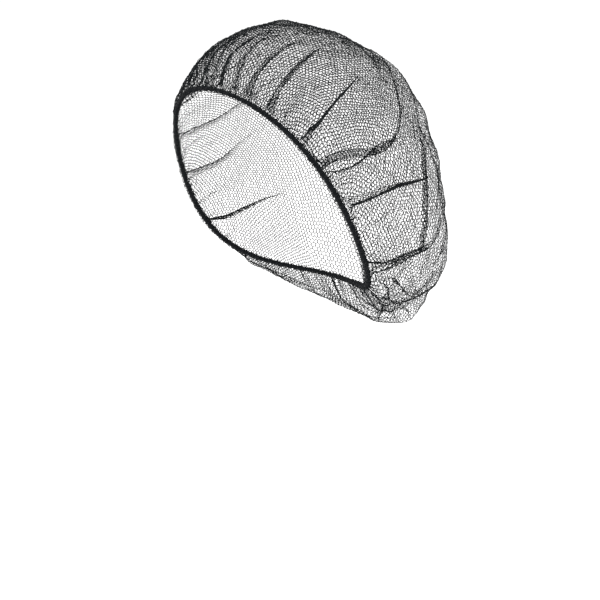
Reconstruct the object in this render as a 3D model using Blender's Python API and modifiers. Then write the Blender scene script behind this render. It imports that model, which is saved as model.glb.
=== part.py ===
"""A hairnet in its worn form: a slack net bag gathered into a round elastic band.

Metres, +Z up. The open face side looks to -Y, and +X is the left side as it is worn. The origin is on the
inside of the net at its crown, so the whole hairnet hangs below it.
"""
import math

import bmesh
import bpy
import numpy as np

# Driving sizes
LENGTH = 0.221            # band at the forehead to the rearmost net
WIDTH = 0.164             # side to side
HEIGHT = 0.250            # crown to the lowest point of the bag
WALL = 0.0010             # bunched thickness of the net
BAND_THICKNESS = 0.0045   # gathered elastic, rolled round
SEAM_GAP = 0.0003         # clearance between the net's edge and the band
FOLD_HEIGHT = 0.0050      # a main fold above the net around it
FOLD_WIDTH = 0.0110       # a main fold across
SWELL_HEIGHT = 0.0060     # a slack corner of the bag beyond its mean form
SWELL_WIDTH = 0.0300
GATHER_HEIGHT = 0.0010    # the pleats that the elastic draws into the net's edge
GATHER_REACH = 0.0300     # how far up the net the pleats fade out
GATHERS = 24              # pleats round the band
RUCKING = 0.10            # rise and fall of the band's thickness, as a share of it
POLE_POWER = 8            # how late the folds die out towards the pole

# Mesh fineness
STATIONS = 96             # columns of the net round the bag
RINGS = 24                # rows of the net from the band to the pole
BAND_POINTS = 144
BAND_SIDES = 8
PATH_STEPS = 16           # pieces in which a fold's path is followed
CROWN_STEPS = 200         # places tried along the top line to find the crown
SMALL = 1e-4              # step in share or angle by which a direction is measured
JOIN = 1e-5               # points of the net closer than this are one

# Sections of the bag, each a tilted oval ring, from the band to the pole at the rear.
# Forward and up are measured from the crown seat. Lengths are shares: y of LENGTH, z of HEIGHT,
# half_width of WIDTH, belly of HEIGHT and bow of LENGTH. Belly lifts the sides of the ring along its
# own plane, bow pushes them forward out of it, and full is the power of the oval, 2 for an ellipse.
#   share  top_y   top_z  bottom_y bottom_z half_width belly    bow   full
SECTIONS = (
    (0.00, -0.294, -0.144, 0.285, -0.788, 0.476, -0.048, 0.077, 2.00),
    (0.14, -0.231, -0.052, 0.353, -0.880, 0.500, -0.048, 0.068, 2.00),
    (0.30, -0.050, 0.000, 0.439, -0.944, 0.500, -0.048, 0.045, 2.00),
    (0.46, 0.149, -0.012, 0.534, -0.984, 0.494, -0.048, 0.018, 2.05),
    (0.62, 0.333, -0.066, 0.611, -1.000, 0.451, -0.048, 0.000, 2.10),
    (0.78, 0.508, -0.150, 0.655, -0.905, 0.372, -0.032, 0.015, 2.05),
    (0.90, 0.603, -0.340, 0.702, -0.790, 0.225, 0.000, 0.020, 2.00),
    (1.00, 0.688, -0.604, 0.688, -0.604, 0.000, 0.000, 0.000, 2.00),
)

# Folds of the net, each along a smooth path from start through middle to end.
# A place is a share of the way from the band to the pole and an angle round the bag in degrees: 0 at the
# top, 90 at the left side, 180 at the nape. Height is a share of FOLD_HEIGHT, width of FOLD_WIDTH.
#   name            start        middle       end          height width
FOLDS = (
    ("brow_left_1", (0.02, 6), (0.13, 6), (0.26, 9), 0.40, 0.7),
    ("brow_left_2", (0.02, 19), (0.14, 21), (0.30, 20), 0.40, 0.7),
    ("brow_left_3", (0.03, 29), (0.16, 31), (0.34, 27), 0.45, 0.7),
    ("brow_right_1", (0.02, 354), (0.12, 357), (0.24, 360), 0.40, 0.7),
    ("brow_right_2", (0.04, 338), (0.14, 346), (0.26, 350), 0.30, 0.7),
    ("temple_left", (0.03, 46), (0.25, 49), (0.46, 33), 0.60, 0.9),
    ("sweep_left", (0.02, 58), (0.34, 68), (0.64, 32), 0.75, 1.0),
    ("sweep_left_low", (0.02, 64), (0.22, 71), (0.40, 62), 0.60, 0.9),
    ("ear_left", (0.02, 75), (0.30, 80), (0.67, 74), 0.75, 1.0),
    ("long_left", (0.03, 101), (0.30, 105), (0.60, 91), 1.00, 1.2),
    ("rear_left", (0.55, 62), (0.44, 79), (0.38, 100), 0.60, 0.9),
    ("rear_left_high", (0.64, 48), (0.56, 63), (0.65, 81), 0.60, 0.9),
    ("nape_left_1", (0.05, 110), (0.24, 115), (0.50, 135), 0.75, 1.0),
    ("nape_left_2", (0.03, 122), (0.20, 137), (0.52, 160), 0.75, 1.0),
    ("nape_middle", (0.04, 178), (0.24, 176), (0.48, 181), 0.60, 1.0),
    ("nape_right_1", (0.03, 240), (0.20, 226), (0.50, 202), 0.75, 1.0),
    ("nape_right_2", (0.05, 252), (0.25, 244), (0.50, 226), 0.75, 1.0),
    ("long_right", (0.03, 260), (0.30, 256), (0.60, 268), 0.90, 1.2),
    ("ear_right", (0.02, 284), (0.30, 279), (0.66, 287), 0.75, 1.0),
    ("sweep_right", (0.02, 301), (0.34, 293), (0.63, 325), 0.75, 1.0),
    ("temple_right", (0.03, 316), (0.24, 311), (0.45, 326), 0.60, 0.9),
)

# Slack corners, where the bag stands out in a low rounded swell.
# Height is a share of SWELL_HEIGHT, width of SWELL_WIDTH.
#   name           share angle height width
SWELLS = (
    ("tail", 0.52, 163, 1.10, 1.0),
    ("rear_corner", 0.71, 110, 0.45, 0.8),
    ("far_temple", 0.12, 332, 0.25, 1.2),
    ("crown_pucker", 0.37, 0, 0.25, 0.4),
)

NET_COLOUR = (0.012, 0.014, 0.020, 1.0)
BAND_COLOUR = (0.006, 0.007, 0.010, 1.0)


def section_at(shares):
    """The section's columns at each share, on a smooth curve through the table's rows."""
    table = np.array(SECTIONS)
    knots = table[:, 0]
    rows = table[:, 1:]
    step = (rows[1:] - rows[:-1]) / (knots[1:] - knots[:-1])[:, None]
    slope = np.zeros_like(rows)
    before = (knots[1:-1] - knots[:-2])[:, None]
    after = (knots[2:] - knots[1:-1])[:, None]
    slope[1:-1] = (step[1:] * before + step[:-1] * after) / (before + after)
    slope[0] = step[0]
    slope[-1] = step[-1]
    index = np.clip(np.searchsorted(knots, shares, side="right") - 1, 0, len(knots) - 2)
    span = (knots[index + 1] - knots[index])[:, None]
    t = (shares - knots[index])[:, None] / span
    start = (2 * t**3 - 3 * t**2 + 1) * rows[index] + (t**3 - 2 * t**2 + t) * span * slope[index]
    end = (3 * t**2 - 2 * t**3) * rows[index + 1] + (t**3 - t**2) * span * slope[index + 1]
    return start + end


def raw_form(shares, angles):
    """Points of the bag's mean form, before the crown is lifted to its seat."""
    top_y, top_z, bottom_y, bottom_z, half_width, belly, bow, full = section_at(shares).T
    top = np.stack([top_y * LENGTH, top_z * HEIGHT], -1)
    bottom = np.stack([bottom_y * LENGTH, bottom_z * HEIGHT], -1)
    middle = (top + bottom) / 2
    half = np.linalg.norm(top - bottom, axis=-1) / 2
    up = (top - bottom) / np.maximum(2 * half, 1e-9)[:, None]
    out = np.stack([-up[:, 1], up[:, 0]], -1)
    cosine = np.cos(angles)
    sine = np.sin(angles)
    side = half_width * WIDTH * np.sign(sine) * np.abs(sine) ** (2 / full)
    rise = half * np.sign(cosine) * np.abs(cosine) ** (2 / full) + belly * HEIGHT * sine**2
    push = bow * LENGTH * sine**2 * (1 - cosine)
    place = middle + up * rise[:, None] + out * push[:, None]
    return np.stack([side, place[:, 0], place[:, 1]], -1)


def crown_lift():
    """How far the form is raised so that the inside of its crown lies at the origin's height."""
    shares = np.linspace(0, 1, CROWN_STEPS)
    return WALL / 2 - raw_form(shares, np.zeros(CROWN_STEPS))[:, 2].max()


def mean_form(shares, angles):
    """Points of the net's middle surface, smooth and without folds."""
    return raw_form(shares, angles) + np.array([0, 0, crown_lift()])


def outward(shares, angles):
    """The net's outward direction at each place."""
    low = np.clip(shares - SMALL, 0, 1)
    high = np.clip(shares + SMALL, 0, 1)
    along = mean_form(high, angles) - mean_form(low, angles)
    round_bag = mean_form(shares, angles + SMALL) - mean_form(shares, angles - SMALL)
    normal = np.cross(round_bag, along)
    length = np.linalg.norm(normal, axis=-1)[:, None]
    tiny = np.finfo(float).tiny
    return normal / np.maximum(length, tiny)


def fold_path(start, middle, end):
    """Points along a fold, on a curve that passes through its middle place."""
    t = np.linspace(0, 1, PATH_STEPS + 1)[:, None]
    control = 2 * np.array(middle) - (np.array(start) + np.array(end)) / 2
    place = (1 - t)**2 * np.array(start) + 2 * t * (1 - t) * control + t**2 * np.array(end)
    return mean_form(place[:, 0], np.radians(place[:, 1]))


def distance_to_path(points, path):
    """Each point's least distance to a path, and how far along the path it is met, from 0 to 1."""
    nearest = np.full(len(points), np.inf)
    along = np.zeros(len(points))
    for step in range(len(path) - 1):
        piece = path[step + 1] - path[step]
        t = np.clip((points - path[step]) @ piece / (piece @ piece), 0, 1)
        distance = np.linalg.norm(points - path[step] - t[:, None] * piece, axis=-1)
        closer = distance < nearest
        nearest = np.where(closer, distance, nearest)
        along = np.where(closer, (step + t) / (len(path) - 1), along)
    return nearest, along


def relief(points, angles, from_band):
    """How far folds, swells and gathers stand out of the mean form at each point."""
    height = np.zeros(len(points))
    for _name, start, middle, end, high, wide in FOLDS:
        distance, along = distance_to_path(points, fold_path(start, middle, end))
        taper = np.sqrt(np.sin(np.pi * along))
        ridge = high * FOLD_HEIGHT * np.exp(-(2 * distance / (wide * FOLD_WIDTH))**2) * taper
        height = np.maximum(height, ridge)
    for _name, share, angle, high, wide in SWELLS:
        centre = mean_form(np.array([share]), np.radians([angle]))
        distance = np.linalg.norm(points - centre, axis=-1)
        height = height + high * SWELL_HEIGHT * np.exp(-(distance / (wide * SWELL_WIDTH))**2)
    fade = np.exp(-from_band / GATHER_REACH)
    height = height + GATHER_HEIGHT * np.cos(GATHERS * angles) * fade
    held_by_band = np.clip(from_band / FOLD_WIDTH, 0, 1)
    return height * held_by_band


def material(name, colour, roughness):
    """A plain cloth material."""
    made = bpy.data.materials.new(name)
    made.use_nodes = True
    shader = made.node_tree.nodes["Principled BSDF"]
    shader.inputs["Base Color"].default_value = colour
    shader.inputs["Roughness"].default_value = roughness
    shader.inputs["Metallic"].default_value = 0.0
    return made


def elastic_band(collection):
    """The elastic edge: one closed cord of gathered net along the bag's first section."""
    angles = np.linspace(0, 2 * np.pi, BAND_POINTS, endpoint=False)
    route = mean_form(np.zeros(BAND_POINTS), angles)
    curve = bpy.data.curves.new("elastic_band", "CURVE")
    curve.dimensions = "3D"
    curve.bevel_depth = BAND_THICKNESS / 2
    curve.bevel_resolution = (BAND_SIDES - 4) // 2
    spline = curve.splines.new("POLY")
    spline.points.add(BAND_POINTS - 1)
    spline.use_cyclic_u = True
    for point, place, angle in zip(spline.points, route, angles):
        point.co = (*place, 1.0)
        point.radius = 1 - RUCKING * (1 - math.cos(GATHERS * angle)) / 2
    curve.materials.append(material("band_elastic", BAND_COLOUR, 0.85))
    band = bpy.data.objects.new("elastic_band", curve)
    collection.objects.link(band)
    return band


def net_bag(collection):
    """The net: a sheet rolled into a bag and drawn together at its rear pole, with its folds."""
    bm = bmesh.new()
    bmesh.ops.create_grid(bm, x_segments=STATIONS, y_segments=RINGS, size=0.5)
    bm.verts.ensure_lookup_table()
    flat = np.array([vertex.co[:] for vertex in bm.verts])
    angles = 2 * np.pi * (flat[:, 0] + 0.5)
    down = np.clip(flat[:, 1] + 0.5, 0, 1)

    # The edge starts one gap clear of the band, measured square to the band's route
    rim = np.zeros(len(down))
    up_net = (mean_form(rim + SMALL, angles) - mean_form(rim, angles)) / SMALL
    route = mean_form(rim, angles + SMALL) - mean_form(rim, angles - SMALL)
    route = route / np.linalg.norm(route, axis=-1)[:, None]
    square = up_net - route * (up_net * route).sum(-1)[:, None]
    slope = np.linalg.norm(square, axis=-1)
    edge_share = (BAND_THICKNESS / 2 + SEAM_GAP) / slope
    shares = edge_share + (1 - edge_share) * down
    points = mean_form(shares, angles)
    from_band = (shares - edge_share) * slope
    lift = relief(points, angles, from_band) * (1 - down**POLE_POWER)
    points = points + outward(shares, angles) * lift[:, None]
    for vertex, point in zip(bm.verts, points):
        vertex.co = point
    bmesh.ops.remove_doubles(bm, verts=bm.verts, dist=JOIN)
    bmesh.ops.recalc_face_normals(bm, faces=bm.faces)

    mesh = bpy.data.meshes.new("net_bag")
    bm.to_mesh(mesh)
    bm.free()
    mesh.shade_smooth()
    mesh.materials.append(material("nylon_net", NET_COLOUR, 0.6))
    bag = bpy.data.objects.new("net_bag", mesh)
    collection.objects.link(bag)
    wall = bag.modifiers.new("wall", "SOLIDIFY")
    wall.thickness = WALL
    wall.offset = 0.0
    return bag


def main():
    for item in list(bpy.data.objects):
        bpy.data.objects.remove(item, do_unlink=True)
    collection = bpy.data.collections.new("hairnet")
    bpy.context.scene.collection.children.link(collection)
    elastic_band(collection)
    net_bag(collection)


main()
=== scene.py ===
import math

import bmesh
import bpy
import numpy as np
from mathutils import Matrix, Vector


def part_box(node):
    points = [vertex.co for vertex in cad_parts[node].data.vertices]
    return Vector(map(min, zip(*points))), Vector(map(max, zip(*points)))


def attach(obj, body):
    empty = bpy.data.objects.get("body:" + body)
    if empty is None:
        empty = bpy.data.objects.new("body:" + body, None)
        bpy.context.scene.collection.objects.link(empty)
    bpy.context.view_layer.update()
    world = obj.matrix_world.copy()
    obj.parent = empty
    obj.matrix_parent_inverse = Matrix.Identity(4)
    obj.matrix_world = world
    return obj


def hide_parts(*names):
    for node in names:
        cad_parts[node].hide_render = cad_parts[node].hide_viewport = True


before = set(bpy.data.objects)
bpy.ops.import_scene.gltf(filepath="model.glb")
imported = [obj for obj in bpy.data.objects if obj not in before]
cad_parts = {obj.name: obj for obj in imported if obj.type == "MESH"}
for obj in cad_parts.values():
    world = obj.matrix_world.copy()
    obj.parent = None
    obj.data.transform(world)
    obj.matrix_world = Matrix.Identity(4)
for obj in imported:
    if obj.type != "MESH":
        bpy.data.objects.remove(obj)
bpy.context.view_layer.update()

# The band and the net, in metres
BAND_THICKNESS = 0.0045
WALL = 0.0010                 # the bunched net's thickness in the solid model
STRAND_SIDE = 0.00176         # one side of a six-sided mesh of the net
STRAND_RADIUS = 0.00030
STRAND_FLATNESS = 0.4         # a yarn's thickness as a share of its width
STRAND_OVERLAP = 0.00010      # how far a strand runs on past each knot
TWIST = 0.00016               # half the width of the two yarns that cross in an upright
CUT_RADIUS = 0.220            # the net is cut as a disc before it is gathered
CUT_OFFSET = 0.040            # the disc's middle lies this far forward of the bag's pole
EDGE_AT_BROW = 0.78           # the rolled edge's thickness there, as a share of the band's
EDGE_AT_SIDES = 0.32          # and what the sides and the nape add to it
EDGE_AT_NAPE = 0.11
HEM = 0.0110                  # net rolled round the elastic, past its middle line

# The rolled net, the elastic inside it and the thread that whips them together. Rucks are the small
# gathers that the elastic makes, each with its size, its number round the band and its slant or start.
HEM_FULLNESS = 0.76           # the rolled net's mean radius, as a share of the band's
HEM_RUCKS = ((0.13, 137, 2), (0.12, 211, -3), (0.10, 89, 1))
ELASTIC_CORE = 0.70           # the elastic's radius inside the hem, as a share of the band's
ELASTIC_FULLNESS = 0.9        # and the share of that which it keeps on average
ELASTIC_RUCKS = ((0.06, 137, 0), (0.05, 211, 1), (0.03, 61, 0))
ELASTIC_POINTS = 900
ELASTIC_SIDES = 12
THREAD_RADIUS = 0.00022
THREAD_SIDES = 4
THREAD_TURNS = 230
THREAD_POINTS = 10            # in each turn
THREAD_SEAT = 0.80            # the turns' radius, as a share of the band's
THREAD_LOOP = 0.0009          # how far each turn loops up the net
LOOP_POWER = 3                # a loop is narrower at a higher power
THREAD_STRAY = ((0.00020, 17), (0.00022, 53))

# Sections of the bag, tilted oval rings from the band to the pole at the rear, as shares of the
# length, width and height of the whole form. belly lowers a ring's sides, bow swings their lower
# half towards the opening, and full is the oval's power, 2 for a true oval.
#   share  top_y   top_z  bottom_y bottom_z half_width belly    bow   full
SECTIONS = (
    (0.00, -0.294, -0.144, 0.285, -0.788, 0.476, -0.048, 0.077, 2.00),
    (0.14, -0.231, -0.052, 0.353, -0.880, 0.500, -0.048, 0.068, 2.00),
    (0.30, -0.050, 0.000, 0.439, -0.944, 0.500, -0.048, 0.045, 2.00),
    (0.46, 0.149, -0.012, 0.534, -0.984, 0.494, -0.048, 0.018, 2.05),
    (0.62, 0.333, -0.066, 0.611, -1.000, 0.451, -0.048, 0.000, 2.10),
    (0.78, 0.508, -0.150, 0.655, -0.905, 0.372, -0.032, 0.015, 2.05),
    (0.90, 0.603, -0.340, 0.702, -0.790, 0.225, 0.000, 0.020, 2.00),
    (1.00, 0.688, -0.604, 0.688, -0.604, 0.000, 0.000, 0.000, 2.00),
)
band_low, band_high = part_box("elastic_band")
LENGTH = (band_high[1] - band_low[1] - BAND_THICKNESS) / (SECTIONS[0][3] - SECTIONS[0][1])
HEIGHT = (band_high[2] - band_low[2] - BAND_THICKNESS) / (SECTIONS[0][2] - SECTIONS[0][4])
WIDTH = (band_high[0] - band_low[0] - BAND_THICKNESS) / (2 * SECTIONS[0][5])

# Pleats and creases, each on a smooth path of (share, angle) places. The near side's follow the
# photo, and the far side's are guessed. cloth is the half width of net that the fold takes in, lay
# how far its crest is laid over to the left of its path, seen from outside, and rise its height. All
# three are in millimetres. A fold without lay is a crease, where the net is drawn together into a
# line. Every fold fades towards its end, and a free one at its start too. A soft one is a wide gather.
#   name            cloth lay   rise  grip    places
FOLDS = (
    ("temple_left", 4.6, 0.0, 0.8, "band", (0.00, 47), (0.09, 48), (0.16, 48.5), (0.31, 44), (0.42, 38)),
    ("brow_left_1", 3.4, 0.0, 0.6, "soft", (0.00, 6), (0.13, 6), (0.30, 9)),
    ("brow_left_2", 3.6, 0.0, 0.6, "soft", (0.00, 19), (0.14, 21), (0.34, 19)),
    ("brow_left_3", 3.6, 0.0, 0.6, "soft", (0.00, 30), (0.16, 31), (0.38, 25)),
    ("brow_right_1", 3.4, 0.0, 0.8, "soft", (0.00, 352), (0.12, 356), (0.28, 360)),
    ("brow_right_2", 3.0, 0.0, 0.8, "soft", (0.00, 338), (0.14, 346), (0.28, 350)),
    ("sweep_left", 6.0, 0.0, 1.4, "band", (0.00, 56), (0.08, 58.5), (0.16, 61), (0.26, 63.5),
     (0.34, 64), (0.40, 62), (0.45, 57.5), (0.50, 51), (0.57, 40), (0.64, 29), (0.74, 12), (0.83, 0)),
    ("sweep_left_low", 6.5, 5.0, 1.2, "band", (0.00, 63.2), (0.08, 66.7), (0.17, 68.7), (0.26, 68.5),
     (0.34, 67), (0.42, 64.5)),
    ("ear_left", 8.0, 0.0, 1.4, "band", (0.00, 74), (0.09, 76.5), (0.19, 78), (0.33, 78), (0.46, 76.5),
     (0.63, 72)),
    ("ear_bunch", 6.0, 0.0, 0.8, "soft", (0.00, 92), (0.06, 94), (0.13, 95.5), (0.22, 97)),
    ("long_left", 12.5, 0.0, 2.0, "band", (0.00, 105), (0.08, 104.5), (0.17, 104), (0.30, 104),
     (0.45, 101), (0.61, 93)),
    ("rear_edge", 4.0, 0.0, 1.0, "free", (0.56, 95), (0.64, 82), (0.64, 74), (0.62, 66), (0.62, 57),
     (0.68, 46), (0.76, 34)),
    ("rear_left", 9.5, 8.5, 1.2, "free", (0.56, 58), (0.53, 65), (0.49, 72), (0.45, 80), (0.41, 90),
     (0.385, 100), (0.36, 110)),
    ("corner_left", 5.5, 2.4, 1.6, "free", (0.10, 115), (0.16, 117), (0.23, 121), (0.31, 127), (0.42, 134),
     (0.54, 135)),
    ("corner_left_low", 4.2, 0.0, 1.0, "free", (0.28, 110), (0.34, 118), (0.40, 124), (0.50, 132)),
    ("corner_drop", 4.0, 0.0, 1.2, "free", (0.205, 112.5), (0.225, 116), (0.255, 119.5), (0.32, 125),
     (0.40, 130)),
    ("tail_left", 4.0, 0.0, 1.0, "free", (0.26, 127), (0.33, 135), (0.40, 144), (0.60, 156)),
    ("nape_left_1", 6.5, 2.6, 1.8, "band", (0.00, 124), (0.05, 127.5), (0.10, 129), (0.19, 135.5),
     (0.36, 154), (0.54, 163)),
    ("nape_left_2", 4.5, 2.0, 1.4, "band", (0.00, 140), (0.09, 147), (0.17, 151), (0.33, 165), (0.44, 170)),
    ("nape_middle", 4.5, -2.0, 1.4, "band", (0.00, 178), (0.20, 177), (0.42, 172)),
    ("nape_right_1", 6.0, -3.0, 1.8, "band", (0.00, 238), (0.10, 231), (0.24, 222), (0.50, 204)),
    ("nape_right_2", 4.5, 0.0, 1.2, "band", (0.00, 222), (0.10, 215), (0.26, 205), (0.40, 198)),
    ("long_right", 7.5, -3.4, 2.2, "band", (0.00, 258), (0.14, 257), (0.30, 258), (0.60, 268)),
    ("ear_right", 6.0, 0.0, 1.2, "soft", (0.00, 284), (0.14, 280), (0.30, 281), (0.48, 292)),
    ("sweep_right", 5.0, 0.0, 1.0, "soft", (0.00, 303), (0.16, 296), (0.34, 298), (0.50, 310), (0.64, 330)),
    ("temple_right", 4.0, 0.0, 0.8, "soft", (0.00, 316), (0.12, 312), (0.24, 313), (0.45, 324)),
)
FOLD_FEED = 3.0               # a fold draws its net from this many times its own half width
FEED_MOST = 22.0              # and from at most this much net beyond it, in millimetres
CREASE = 0.14                 # what is left of a crease's width, as a share
STEPS_EACH = 6                # steps along a fold between two of its places
FADE_AT_END = 3               # a fold fades over the last of so many equal parts of its length
FADE_AT_START = 4             # and a free one also over the first of so many
CREST_EVEN = 1.0              # a crest is laid over most midway between the feet
CREST_EARLY = 0.7             # and it stands highest on the side that it leans from

# Slack corners of the bag, where it stands out in a low rounded swell of so many millimetres
#   name           share angle rise reach
SWELLS = (
    ("tail", 0.52, 163, 6.6, 30.0),
    ("rear_corner", 0.71, 110, 2.7, 24.0),
    ("far_brow", 0.20, 336, -1.8, 26.0),
    ("far_temple", 0.04, 318, 3.0, 16.0),
    ("crown_pucker", 0.37, 0, 1.5, 12.0),
    ("flat_corner", 0.50, 142, -7.0, 25.0),
)

# Small soft gathers that the elastic draws all round, between and beside the named folds
GATHERS = 96
GATHER_CLOTH = (1.5, 2.9)
GATHER_RISE = (0.3, 0.9)
GATHER_REACH = (0.05, 0.36)
GATHER_SHORT = 1.6            # a power on their chance lengths, so that most are short
GATHER_STRAY = 0.4            # how far one strays from even spacing, as a share of it
GATHER_DRIFT = 4              # how far one drifts sideways along its length, in degrees
FOLD_CLEAR = 3.2              # a gather keeps this many degrees from a named fold
GATHER_WIDTH = 0.45           # what is left of a gather's width, as a share
RIPPLE = 0.0006               # slow waves in the rows of the net
RIPPLE_ACROSS = 0.017         # their scale across the flat net
RIPPLE_ALONG = 0.021          # and along it
UNEVEN = 0.00022              # how far a knot strays from its even place
FADE_AT_BAND = 0.003          # folds lie flat within this length of net beside the band
FUZZ = 0.0004                 # how far single meshes stand off
FUZZ_RUN = 0.010              # they come to that over this length of net from the band
SLACK = 0.0004                # low waves where the net hangs free
SLACK_SCALE = 0.0052          # their scale over the worn form
SLACK_RUN = 0.035             # they grow over this length of net from the band
SLACK_FRONT = 0.45            # their height at the front, as a share of that at the rear
SLACK_REAR = 0.10             # they are full this far behind the crown seat

# Panels, the net's share from one bearing round the pole to the next, in degrees
PANELS = (
    ("net_crown_left", 0, 72),
    ("net_side_left", 72, 144),
    ("net_nape", 144, 216),
    ("net_side_right", 216, 288),
    ("net_crown_right", 288, 360),
)

# The photo's view
CAMERA_PLACE = (0.4745, -0.5391, 0.0661)
CAMERA_BEARING = 40.0
CAMERA_DOWN = 20.4
LENS = 61.2
FLOOR_BELOW = 0.390           # from the crown seat to the floor
FLOOR_RADIUS = 14.0
FLOOR_SIDES = 96
LIGHT_AIM = (0, 0.04, -0.12)  # about the middle of the net
STUDIO_GLOW = 1.15

MM = 0.001
SMALL_STEP = 1e-4             # a step over the form that finds its directions
PLACING_PASSES = 2            # each finds the share and the angle from one another
YARNS_A_CELL = 4              # yarns that belong to each six-sided cell of the net
SHARE_STEPS = 161
ANGLE_STEPS = 361
random = np.random.default_rng(7)


# The worn form

def section_at(shares):
    """The section's columns at each share, on a smooth curve through the table's rows."""
    table = np.array(SECTIONS)
    knots = table[:, 0]
    rows = table[:, 1:]
    step = (rows[1:] - rows[:-1]) / (knots[1:] - knots[:-1])[:, None]
    slope = np.zeros_like(rows)
    before = (knots[1:-1] - knots[:-2])[:, None]
    after = (knots[2:] - knots[1:-1])[:, None]
    slope[1:-1] = (step[1:] * before + step[:-1] * after) / (before + after)
    slope[0] = step[0]
    slope[-1] = step[-1]
    index = np.clip(np.searchsorted(knots, shares, side="right") - 1, 0, len(knots) - 2)
    span = (knots[index + 1] - knots[index])[:, None]
    t = (shares - knots[index])[:, None] / span
    start = (2 * t**3 - 3 * t**2 + 1) * rows[index] + (t**3 - 2 * t**2 + t) * span * slope[index]
    end = (3 * t**2 - 2 * t**3) * rows[index + 1] + (t**3 - t**2) * span * slope[index + 1]
    return start + end


def raw_form(shares, angles):
    """Points of the smooth bag, before its crown is lifted to the seat."""
    top_y, top_z, bottom_y, bottom_z, half_width, belly, bow, full = section_at(shares).T
    top = np.stack([top_y * LENGTH, top_z * HEIGHT], -1)
    bottom = np.stack([bottom_y * LENGTH, bottom_z * HEIGHT], -1)
    middle = (top + bottom) / 2
    half = np.linalg.norm(top - bottom, axis=-1) / 2
    up = (top - bottom) / np.maximum(2 * half, 1e-9)[:, None]
    out = np.stack([-up[:, 1], up[:, 0]], -1)
    cosine = np.cos(angles)
    sine = np.sin(angles)
    side = half_width * WIDTH * np.sign(sine) * np.abs(sine) ** (2 / full)
    rise = half * np.sign(cosine) * np.abs(cosine) ** (2 / full) + belly * HEIGHT * sine**2
    push = bow * LENGTH * sine**2 * (1 - cosine)
    place = middle + up * rise[:, None] + out * push[:, None]
    return np.stack([side, place[:, 0], place[:, 1]], -1)


TOP_LINE = np.linspace(0, 1, SHARE_STEPS)
CROWN_LIFT = WALL / 2 - raw_form(TOP_LINE, np.zeros(SHARE_STEPS))[:, 2].max()


def worn_form(shares, angles):
    """Points of the net's mean surface, smooth and without folds."""
    return raw_form(shares, angles) + np.array([0, 0, CROWN_LIFT])


def unit(vectors):
    """Each vector at length one."""
    length = np.linalg.norm(vectors, axis=-1, keepdims=True)
    return vectors / np.maximum(length, 1e-12)


def outward(shares, angles):
    """The net's outward direction at each place."""
    shares = np.clip(shares, SMALL_STEP, 1 - 2 * SMALL_STEP)
    along = worn_form(shares + SMALL_STEP, angles) - worn_form(shares - SMALL_STEP, angles)
    round_form = worn_form(shares, angles + SMALL_STEP) - worn_form(shares, angles - SMALL_STEP)
    return unit(np.cross(round_form, along))


def lookup(table, down, across):
    """Values read smoothly from a table, whose rows run 0 to 1 and columns 0 to a full turn."""
    row = np.clip(down, 0, 1) * (SHARE_STEPS - 1)
    column = (across % (2 * np.pi)) / (2 * np.pi) * (ANGLE_STEPS - 1)
    i = np.minimum(row.astype(int), SHARE_STEPS - 2)
    j = np.minimum(column.astype(int), ANGLE_STEPS - 2)
    a = row - i
    b = column - j
    upper = table[i, j] * (1 - b) + table[i, j + 1] * b
    lower = table[i + 1, j] * (1 - b) + table[i + 1, j + 1] * b
    return upper * (1 - a) + lower * a


def cloth_tables():
    """For each even step over the form: its share by cloth length, and its angle by girth."""
    shares = np.linspace(0, 1, SHARE_STEPS)
    angles = np.linspace(0, 2 * np.pi, ANGLE_STEPS)
    share_grid, angle_grid = np.meshgrid(shares, angles, indexing="ij")
    grid = worn_form(share_grid.ravel(), angle_grid.ravel()).reshape(SHARE_STEPS, ANGLE_STEPS, 3)
    up = np.zeros((SHARE_STEPS, ANGLE_STEPS))
    up[1:] = np.cumsum(np.linalg.norm(np.diff(grid, axis=0), axis=-1), axis=0)
    around = np.zeros((SHARE_STEPS, ANGLE_STEPS))
    around[:, 1:] = np.cumsum(np.linalg.norm(np.diff(grid, axis=1), axis=-1), axis=1)
    around[-1] = around[-2]
    share_of = np.empty_like(up)
    for column in range(ANGLE_STEPS):
        share_of[:, column] = np.interp(shares, up[:, column] / up[-1, column], shares)
    angle_of = np.empty_like(up)
    for row in range(SHARE_STEPS):
        angle_of[row] = np.interp(angles, around[row] / around[row, -1] * 2 * np.pi, angles)
    return share_of, angle_of, lookup_lengths(up)


def lookup_lengths(up):
    """The whole length of net from band to pole, the same in every row, for lookup."""
    return np.repeat(up[-1:], SHARE_STEPS, axis=0)


SHARE_OF, ANGLE_OF, NET_LENGTH = cloth_tables()


def edge_reach(bearing):
    """From the pole to the cut's edge, along each bearing."""
    return CUT_OFFSET * np.cos(bearing) + np.sqrt(CUT_RADIUS**2 - (CUT_OFFSET * np.sin(bearing))**2)


# Folds

def fold_path(places):
    """Points along a fold, on a smooth curve through its places."""
    table = np.array(places, dtype=float)
    padded = np.vstack([2 * table[0] - table[1], table, 2 * table[-1] - table[-2]])
    path = []
    for number in range(len(table) - 1):
        before, start, end, after = padded[number:number + 4]
        for t in np.arange(STEPS_EACH) / STEPS_EACH:
            bend = (2 * before - 5 * start + 4 * end - after) * t**2
            turn = (3 * start - before - 3 * end + after) * t**3
            path.append(start + ((end - before) * t + bend + turn) / 2)
    path.append(table[-1])
    path = np.array(path)
    return worn_form(np.clip(path[:, 0], 0, 1), np.radians(path[:, 1]))


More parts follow.
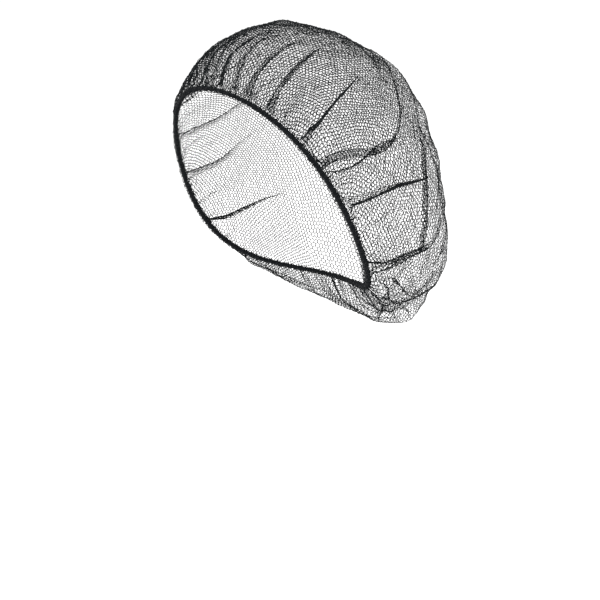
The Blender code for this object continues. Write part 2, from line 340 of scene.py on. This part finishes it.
def gather_rows():
    """The small gathers, spread round the band with uneven spacing, width and length."""
    rows = []
    taken = np.array([row[5][1] for row in FOLDS if row[5][0] == 0.0])
    for number in range(GATHERS):
        angle = (number + random.uniform(-GATHER_STRAY, GATHER_STRAY)) * 360 / GATHERS
        if (np.abs((taken - angle + 180) % 360 - 180) < FOLD_CLEAR).any():
            continue
        shortest, longest = GATHER_REACH
        reach = random.uniform(0, 1)**GATHER_SHORT * (longest - shortest) + shortest
        drift = random.uniform(-GATHER_DRIFT, GATHER_DRIFT)
        cloth = random.uniform(*GATHER_CLOTH)
        rise = random.uniform(*GATHER_RISE)
        places = ((0.0, angle), (reach / 2, angle + drift / 3), (reach, angle + drift))
        rows.append(("gather", cloth, 0.0, rise, "soft", *places))
    return rows


def crest(t, early):
    """A fold's section from 0 at its feet to 1 at its crest, met early or late on the way."""
    return np.sin(np.pi * ((1 + t) / 2) ** early)


def nearest_on(path, points):
    """For each point: the nearest place on the path, the path's direction there, and how far along."""
    best = np.full(len(points), np.inf)
    foot = np.zeros_like(points)
    heading = np.zeros_like(points)
    along = np.zeros(len(points))
    steps = len(path) - 1
    for step in range(steps):
        piece = path[step + 1] - path[step]
        t = np.clip((points - path[step]) @ piece / (piece @ piece), 0, 1)
        place = path[step] + t[:, None] * piece
        distance = ((points - place)**2).sum(-1)
        closer = distance < best
        best = np.where(closer, distance, best)
        foot[closer] = place[closer]
        heading[closer] = piece
        along[closer] = (step + t[closer]) / steps
    return foot, unit(heading), along


def lay_fold(points, normals, shift, row):
    """Adds one fold to the net: it draws cloth in from both sides and lays it over in a crest."""
    _name, cloth, lay, rise, grip, *places = row
    path = fold_path(places)
    feed = min(cloth * FOLD_FEED, cloth + FEED_MOST) * MM
    near = ((points > path.min(0) - feed) & (points < path.max(0) + feed)).all(-1)
    index = np.nonzero(near)[0]
    foot, heading, along = nearest_on(path, points[index])
    sideways = unit(np.cross(normals[index], heading))
    across = ((points[index] - foot) * sideways).sum(-1)
    keep = np.linalg.norm(points[index] - foot, axis=-1) < feed
    index, along, across, sideways = index[keep], along[keep], across[keep], sideways[keep]
    strength = np.clip((1 - along) * FADE_AT_END, 0, 1)
    if grip == "free":
        strength *= np.clip(along * FADE_AT_START, 0, 1)
    strength = strength * strength * (3 - 2 * strength)
    half = np.maximum(cloth * MM * strength, 1e-6)
    foot_width = half * (GATHER_WIDTH if grip == "soft" else CREASE)
    lean = np.sign(lay) if lay else 1
    side = np.sign(across)
    inside = np.abs(across) < half
    t = np.clip(across / half, -1, 1)
    folded = foot_width * t + lay * MM * strength * crest(t * lean, CREST_EVEN)
    fed = side * (foot_width + (np.abs(across) - half) * (feed - foot_width) / (feed - half))
    move = np.where(inside, folded, fed) - across
    height = np.where(inside, rise * MM * strength * crest(t * lean, CREST_EARLY), 0)
    shift[index] += move[:, None] * sideways + height[:, None] * normals[index]


def lay_all_folds(points, normals, from_band):
    """The net's points after every fold, gather and swell."""
    shift = np.zeros_like(points)
    for row in list(FOLDS) + gather_rows():
        lay_fold(points, normals, shift, row)
    for _name, share, angle, rise, reach in SWELLS:
        centre = worn_form(np.array([share]), np.radians([angle]))
        distance = np.linalg.norm(points - centre, axis=-1) / (reach * MM)
        shift += (rise * MM * np.exp(-distance**2))[:, None] * normals
    seated = np.clip((from_band - BAND_THICKNESS / 2) / FADE_AT_BAND, 0, 1)[:, None]
    return points + shift * seated * seated * (3 - 2 * seated)


# The net

def edge_fullness(angles):
    """How full the rolled edge is: thin at the front, fullest at the sides, plain at the rear."""
    return EDGE_AT_BROW + EDGE_AT_SIDES * np.sin(angles)**2 + EDGE_AT_NAPE * (1 - np.cos(angles))


def strand(bm, start, end, height=0.0):
    """One yarn of the flat net, run on a little past the knot at each end."""
    start = Vector((*start, height))
    end = Vector((*end, height))
    over = (end - start).normalized() * STRAND_OVERLAP
    bm.edges.new((bm.verts.new(start - over), bm.verts.new(end + over)))


def flat_net():
    """A wide flat piece of six-sided net, as bare yarns, from one repeat and two arrays."""
    column = math.sqrt(3) * STRAND_SIDE
    row = 1.5 * STRAND_SIDE
    bm = bmesh.new()
    for x, y in ((0.0, 0.0), (column / 2, row)):
        knot = (x, y + STRAND_SIDE)
        strand(bm, (x - TWIST, y), (x + TWIST, y + STRAND_SIDE), TWIST)
        strand(bm, (x + TWIST, y), (x - TWIST, y + STRAND_SIDE), -TWIST)
        strand(bm, knot, (x - column / 2, y + row))
        strand(bm, knot, (x + column / 2, y + row))
    mesh = bpy.data.meshes.new("repeat")
    bm.to_mesh(mesh)
    bm.free()
    repeat = bpy.data.objects.new("repeat", mesh)
    bpy.context.scene.collection.objects.link(repeat)
    half = CUT_RADIUS + CUT_OFFSET + HEM
    for name, step in (("columns", (column, 0, 0)), ("rows", (0, 2 * row, 0))):
        array = repeat.modifiers.new(name, "ARRAY")
        array.use_relative_offset = False
        array.use_constant_offset = True
        array.constant_offset_displace = step
        array.count = int(2 * half / max(step)) + 2
    net = bpy.data.meshes.new_from_object(repeat.evaluated_get(bpy.context.evaluated_depsgraph_get()))
    bpy.data.objects.remove(repeat)
    flat = np.empty(len(net.vertices) * 3)
    net.vertices.foreach_get("co", flat)
    bpy.data.meshes.remove(net)
    flat = flat.reshape(-1, 2, 3)
    flat[:, :, :2] -= (flat[:, :, :2].min((0, 1)) + flat[:, :, :2].max((0, 1))) / 2
    return flat


def ripple(flat):
    """The flat net with slow waves in its rows and columns."""
    x, y = flat[:, 0] / RIPPLE_ACROSS, flat[:, 1] / RIPPLE_ALONG
    waved = flat.copy()
    waved[:, 0] += UNEVEN * (np.sin(11.3 * x + 4.1 * y) + np.sin(7.7 * y - 9.1 * x + 1))
    waved[:, 1] += UNEVEN * (np.sin(12.1 * y + 5.3 * x + 2) + np.sin(8.9 * x - 10.3 * y + 3))
    waved[:, 0] += RIPPLE * (np.sin(y + 1.3 * np.sin(0.7 * x)) + 0.5 * np.sin(2.3 * x - 0.8 * y))
    waved[:, 1] += RIPPLE * (np.sin(1.1 * x + np.sin(0.9 * y)) + 0.5 * np.sin(1.9 * y + 0.6 * x))
    return waved


def slack_waves(points, from_band):
    """How far the net stands off its smooth form, in low waves that fade out at the band."""
    x, y, z = points.T / SLACK_SCALE
    wave = np.sin(x + 1.7 * np.sin(0.6 * z)) + np.sin(1.2 * y - 0.5 * z + 1.5 * np.sin(0.7 * x))
    wave += np.sin(1.3 * z + 0.8 * x + 1.2 * np.sin(0.8 * y))
    rearward = np.clip(points[:, 1] / SLACK_REAR, 0, 1)
    free = np.clip(from_band / SLACK_RUN, 0, 1) * (SLACK_FRONT + (1 - SLACK_FRONT) * rearward)
    fuzz = np.sin(7.3 * x + 3.1 * z) * np.sin(6.1 * y - 4.3 * z + 2.0 * np.sin(x))
    return (SLACK * wave * free + FUZZ * fuzz * np.clip(from_band / FUZZ_RUN, 0, 1))[:, None]


def place_on_form(flat):
    """Takes points of the flat net to their worn places, rolled round the elastic past the edge."""
    flat = ripple(flat)
    bearing = np.arctan2(flat[:, 0], flat[:, 1])
    up = 1 - np.hypot(flat[:, 0], flat[:, 1]) / edge_reach(bearing)
    angle = bearing % (2 * np.pi)
    for _pass in range(PLACING_PASSES):
        share = lookup(SHARE_OF, up, angle)
        angle = lookup(ANGLE_OF, share, bearing)
    points = worn_form(share, angle)
    normals = outward(share, angle)
    from_band = up * lookup(NET_LENGTH, share, angle)
    worn = lay_all_folds(points, normals, from_band)
    worn += normals * flat[:, 2:3] + normals * slack_waves(points, from_band)

    # The hem rolls outwards over the elastic and back under it
    route = worn_form(np.zeros(len(angle)), angle)
    ahead = unit(worn_form(np.zeros(len(angle)), angle + SMALL_STEP) - route)
    out = outward(np.zeros(len(angle)), angle)
    upward = unit(np.cross(ahead, out))
    upward *= np.sign(((points - route) * upward).sum(-1, keepdims=True) + 1e-12)
    radius = BAND_THICKNESS / 2
    turn = (radius - from_band) / radius
    bumps = HEM_FULLNESS
    for size, number, slant in HEM_RUCKS:
        bumps = bumps + size * np.sin(number * angle + slant * turn)
    around = upward * np.cos(turn)[:, None] + out * np.sin(turn)[:, None]
    rolled = route + around * (radius * bumps * edge_fullness(angle) + flat[:, 2])[:, None]
    hem = (from_band < radius)[:, None]
    facing = np.where(hem, around, normals)
    return np.where(hem, rolled, worn), facing, from_band, np.degrees(bearing % (2 * np.pi))


def strand_maker():
    """Geometry nodes that give each bare yarn its body, flattened and open where knots hide it."""
    group = bpy.data.node_groups.new("yarn_body", "GeometryNodeTree")
    group.interface.new_socket("Geometry", in_out="INPUT", socket_type="NodeSocketGeometry")
    group.interface.new_socket("Geometry", in_out="OUTPUT", socket_type="NodeSocketGeometry")
    start = group.nodes.new("NodeGroupInput")
    end = group.nodes.new("NodeGroupOutput")
    curve = group.nodes.new("GeometryNodeMeshToCurve")
    body = group.nodes.new("GeometryNodeCurveToMesh")
    section = group.nodes.new("GeometryNodeCurvePrimitiveCircle")
    section.inputs["Resolution"].default_value = 3
    section.inputs["Radius"].default_value = STRAND_RADIUS
    body.inputs["Fill Caps"].default_value = False
    facing = group.nodes.new("GeometryNodeInputNamedAttribute")
    facing.data_type = "FLOAT_VECTOR"
    facing.inputs["Name"].default_value = "facing"
    lie = group.nodes.new("GeometryNodeSetCurveNormal")
    lie.mode = "FREE"
    flatten = group.nodes.new("GeometryNodeTransform")
    flatten.inputs["Scale"].default_value = (STRAND_FLATNESS, 1.0, 1.0)
    group.links.new(start.outputs[0], curve.inputs["Mesh"])
    group.links.new(curve.outputs["Curve"], lie.inputs["Curve"])
    group.links.new(facing.outputs["Attribute"], lie.inputs["Normal"])
    group.links.new(lie.outputs["Curve"], body.inputs["Curve"])
    group.links.new(section.outputs["Curve"], flatten.inputs["Geometry"])
    group.links.new(flatten.outputs["Geometry"], body.inputs["Profile Curve"])
    group.links.new(body.outputs["Mesh"], end.inputs[0])
    return group


def yarns(name, ends, facing, maker, finish):
    """A piece of the net, from the two ends of each of its yarns."""
    mesh = bpy.data.meshes.new(name)
    mesh.vertices.add(len(ends) * 2)
    mesh.vertices.foreach_set("co", ends.ravel())
    mesh.edges.add(len(ends))
    mesh.edges.foreach_set("vertices", np.arange(len(ends) * 2))
    mesh.update()
    mesh.attributes.new("facing", "FLOAT_VECTOR", "POINT").data.foreach_set("vector", facing.ravel())
    bare = bpy.data.objects.new(name + "_bare", mesh)
    bpy.context.scene.collection.objects.link(bare)
    modifier = bare.modifiers.new("yarn_body", "NODES")
    modifier.node_group = maker
    solid = bpy.data.meshes.new_from_object(bare.evaluated_get(bpy.context.evaluated_depsgraph_get()))
    bpy.data.objects.remove(bare)
    solid.name = name
    solid.materials.clear()
    solid.materials.append(finish)
    solid.shade_smooth()
    piece = bpy.data.objects.new(name, solid)
    bpy.context.scene.collection.objects.link(piece)
    return piece


def make_net(finish):
    """The whole net: flat yarns, laid on the worn form and given their bodies, in panels and a hem."""
    flat = flat_net()
    middle = flat.mean(1)
    centre = np.array([0, CUT_OFFSET])
    flat = flat[np.linalg.norm(middle[:, :2] - centre, axis=-1) < CUT_RADIUS + HEM]
    worn, facing, from_band, bearing = place_on_form(flat.reshape(-1, 3))
    worn = worn.reshape(-1, 2, 3)
    facing = facing.reshape(-1, 2, 3)
    from_band = from_band.reshape(-1, 2).mean(1)
    bearing = bearing.reshape(-1, 2)[:, 0]
    hem = from_band < BAND_THICKNESS / 2
    maker = strand_maker()
    yarn_area = 1.5 * math.sqrt(3) * STRAND_SIDE**2 / YARNS_A_CELL
    panels = []
    for name, start, end in PANELS:
        chosen = (bearing >= start) & (bearing < end) & ~hem
        piece = yarns(name, worn[chosen], facing[chosen], maker, finish)
        box = np.ptp(flat[chosen].reshape(-1, 3)[:, :2], axis=0)
        panels.append((piece, tuple(float(side) for side in box), chosen.sum() * yarn_area))
    rolled = yarns("net_hem", worn[hem], facing[hem], maker, finish)
    return panels, rolled, hem.sum() * yarn_area


# The elastic band

def band_frame(angles):
    """The band's middle line, with the directions out of the net and up it."""
    zero = np.zeros(len(angles))
    route = worn_form(zero, angles)
    ahead = unit(worn_form(zero, angles + SMALL_STEP) - worn_form(zero, angles - SMALL_STEP))
    out = outward(zero, angles)
    return route, out, np.cross(ahead, out)


def closed_cord(name, places, radius, sides):
    """A round cord in a closed loop through its places, as a curve."""
    curve = bpy.data.curves.new(name, "CURVE")
    curve.dimensions = "3D"
    curve.bevel_depth = radius
    curve.bevel_resolution = (sides - 4) // 2
    spline = curve.splines.new("POLY")
    spline.points.add(len(places) - 1)
    spline.use_cyclic_u = True
    for point, place in zip(spline.points, places):
        point.co = (*place, 1.0)
    return curve


def make_elastic(finish):
    """The elastic cord inside the hem, a closed ring with the gathers pressed into it."""
    angles = np.linspace(0, 2 * np.pi, ELASTIC_POINTS, endpoint=False)
    route, _out, _up = band_frame(angles)
    curve = closed_cord("elastic_band_cord", route, BAND_THICKNESS / 2 * ELASTIC_CORE, ELASTIC_SIDES)
    rucks = sum(size * np.sin(number * angles + start) for size, number, start in ELASTIC_RUCKS)
    thickness = (ELASTIC_FULLNESS + rucks) * edge_fullness(angles)
    for point, thick in zip(curve.splines[0].points, thickness):
        point.radius = thick
    return cord_to_piece(curve, finish)


def cord_to_piece(curve, finish):
    """A curve made into a mesh piece of the same name, with its finish."""
    drawn = bpy.data.objects.new(curve.name, curve)
    bpy.context.scene.collection.objects.link(drawn)
    mesh = bpy.data.meshes.new_from_object(drawn.evaluated_get(bpy.context.evaluated_depsgraph_get()))
    bpy.data.objects.remove(drawn)
    mesh.name = curve.name
    mesh.materials.clear()
    mesh.materials.append(finish)
    mesh.shade_smooth()
    piece = bpy.data.objects.new(curve.name, mesh)
    bpy.context.scene.collection.objects.link(piece)
    return piece


def make_overlock(finish):
    """The thread that whips the hem to the elastic, wound round the band with loops up the net."""
    angles = np.linspace(0, 2 * np.pi, THREAD_TURNS * THREAD_POINTS, endpoint=False)
    route, out, up = band_frame(angles)
    wind = angles * THREAD_TURNS
    radius = BAND_THICKNESS / 2 * THREAD_SEAT + THREAD_LOOP * np.clip(np.cos(wind), 0, 1)**LOOP_POWER
    for size, number in THREAD_STRAY:
        radius = radius + size * np.sin(number * angles)
    radius *= edge_fullness(angles)
    line = route + (up * np.cos(wind)[:, None] + out * np.sin(wind)[:, None]) * radius[:, None]
    return cord_to_piece(closed_cord("overlock_thread", line, THREAD_RADIUS, THREAD_SIDES), finish)


# Finishes

def finish_nodes(name, colour, roughness, sheen):
    """A new material with its shader's fixed values set."""
    made = bpy.data.materials.new(name)
    made.use_nodes = True
    shader = made.node_tree.nodes["Principled BSDF"]
    shader.inputs["Base Color"].default_value = (*colour, 1.0)
    shader.inputs["Roughness"].default_value = roughness
    shader.inputs["Metallic"].default_value = 0.0
    shader.inputs["Specular IOR Level"].default_value = 0.07
    shader.inputs["Sheen Weight"].default_value = sheen
    return made, shader


def tint(made, shader, dark, light, scale):
    """Uneven dye: the colour drifts between two tones over the cloth."""
    nodes, links = made.node_tree.nodes, made.node_tree.links
    place = nodes.new("ShaderNodeTexCoord")
    cloud = nodes.new("ShaderNodeTexNoise")
    cloud.inputs["Scale"].default_value = scale
    cloud.inputs["Detail"].default_value = 4.0
    ramp = nodes.new("ShaderNodeValToRGB")
    ramp.color_ramp.elements[0].position = 0.35
    ramp.color_ramp.elements[0].color = (*dark, 1.0)
    ramp.color_ramp.elements[1].position = 0.65
    ramp.color_ramp.elements[1].color = (*light, 1.0)
    links.new(place.outputs["Object"], cloud.inputs["Vector"])
    links.new(cloud.outputs["Fac"], ramp.inputs["Fac"])
    links.new(ramp.outputs["Color"], shader.inputs["Base Color"])


def fibre_bump(made, shader, scale, strength):
    """Fine fibres of a spun yarn, as bump."""
    nodes, links = made.node_tree.nodes, made.node_tree.links
    place = nodes.new("ShaderNodeTexCoord")
    fibre = nodes.new("ShaderNodeTexNoise")
    fibre.inputs["Scale"].default_value = scale
    fibre.inputs["Detail"].default_value = 3.0
    bump = nodes.new("ShaderNodeBump")
    bump.inputs["Strength"].default_value = strength
    bump.inputs["Distance"].default_value = 0.0001
    links.new(place.outputs["Object"], fibre.inputs["Vector"])
    links.new(fibre.outputs["Fac"], bump.inputs["Height"])
    links.new(bump.outputs["Normal"], shader.inputs["Normal"])


def nylon_finish():
    """Black nylon yarn of the net, a little smoother than the band."""
    made, shader = finish_nodes("net_nylon", colour=(0.012, 0.015, 0.018), roughness=0.55, sheen=0.0)
    tint(made, shader, dark=(0.003, 0.004, 0.005), light=(0.010, 0.012, 0.013), scale=220.0)
    fibre_bump(made, shader, scale=6000.0, strength=0.4)
    return made


def elastic_finish():
    """Dull black covered rubber of the elastic."""
    made, shader = finish_nodes("band_rubber_cord", colour=(0.006, 0.007, 0.009), roughness=0.75, sheen=0.1)
    tint(made, shader, dark=(0.001, 0.0015, 0.002), light=(0.004, 0.005, 0.007), scale=400.0)
    fibre_bump(made, shader, scale=3000.0, strength=0.8)
    return made


def thread_finish():
    """Black nylon sewing thread of the overlock."""
    made, shader = finish_nodes("overlock_nylon", colour=(0.010, 0.012, 0.015), roughness=0.6, sheen=0.05)
    tint(made, shader, dark=(0.002, 0.003, 0.004), light=(0.008, 0.009, 0.011), scale=700.0)
    fibre_bump(made, shader, scale=5000.0, strength=0.6)
    return made


def floor_finish():
    """Plain pale matt floor."""
    made, _shader = finish_nodes("pale_floor", colour=(0.90, 0.90, 0.90), roughness=0.9, sheen=0.0)
    return made


# Floor, light and view

def make_floor():
    """A wide round floor well below the net."""
    bm = bmesh.new()
    bmesh.ops.create_circle(bm, cap_ends=True, radius=FLOOR_RADIUS, segments=FLOOR_SIDES)
    bmesh.ops.translate(bm, verts=bm.verts, vec=(0, 0, -FLOOR_BELOW))
    mesh = bpy.data.meshes.new("floor")
    bm.to_mesh(mesh)
    bm.free()
    mesh.materials.append(floor_finish())
    floor = bpy.data.objects.new("floor", mesh)
    bpy.context.scene.collection.objects.link(floor)


def soft_light(name, place, size, watts):
    """A round soft light, turned to the net."""
    light = bpy.data.lights.new(name, "AREA")
    light.shape = "DISK"
    light.size = size
    light.energy = watts
    lamp = bpy.data.objects.new(name, light)
    lamp.location = place
    lamp.rotation_mode = "QUATERNION"
    lamp.rotation_quaternion = (Vector(LIGHT_AIM) - Vector(place)).to_track_quat("-Z", "Y")
    bpy.context.scene.collection.objects.link(lamp)


def make_studio():
    """The floor, two soft lights and an even white surround."""
    make_floor()
    soft_light("key", place=(-0.9, -1.6, 1.9), size=1.6, watts=60)
    soft_light("fill", place=(1.9, -0.6, 1.2), size=1.8, watts=30)
    world = bpy.data.worlds.new("studio")
    world.use_nodes = True
    background = world.node_tree.nodes["Background"]
    background.inputs["Color"].default_value = (1.0, 1.0, 1.0, 1.0)
    background.inputs["Strength"].default_value = STUDIO_GLOW
    bpy.context.scene.world = world
    bpy.context.scene.view_settings.view_transform = "Standard"


def make_camera():
    """The camera at the photo's angle and distance."""
    view = bpy.data.cameras.new("photo_view")
    view.lens = LENS
    view.sensor_width = 36.0
    camera = bpy.data.objects.new("photo_view", view)
    camera.location = CAMERA_PLACE
    camera.rotation_euler = (math.radians(90 - CAMERA_DOWN), 0, math.radians(CAMERA_BEARING))
    bpy.context.scene.collection.objects.link(camera)
    bpy.context.scene.camera = camera


make_camera()
make_studio()
panels, hem, hem_area = make_net(nylon_finish())
elastic = make_elastic(elastic_finish())
overlock = make_overlock(thread_finish())
for piece in [panel for panel, _box, _area in panels] + [hem]:
    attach(piece, "root")
    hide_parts("net_bag")
for piece in (elastic, overlock):
    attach(piece, "root")
    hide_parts("elastic_band")
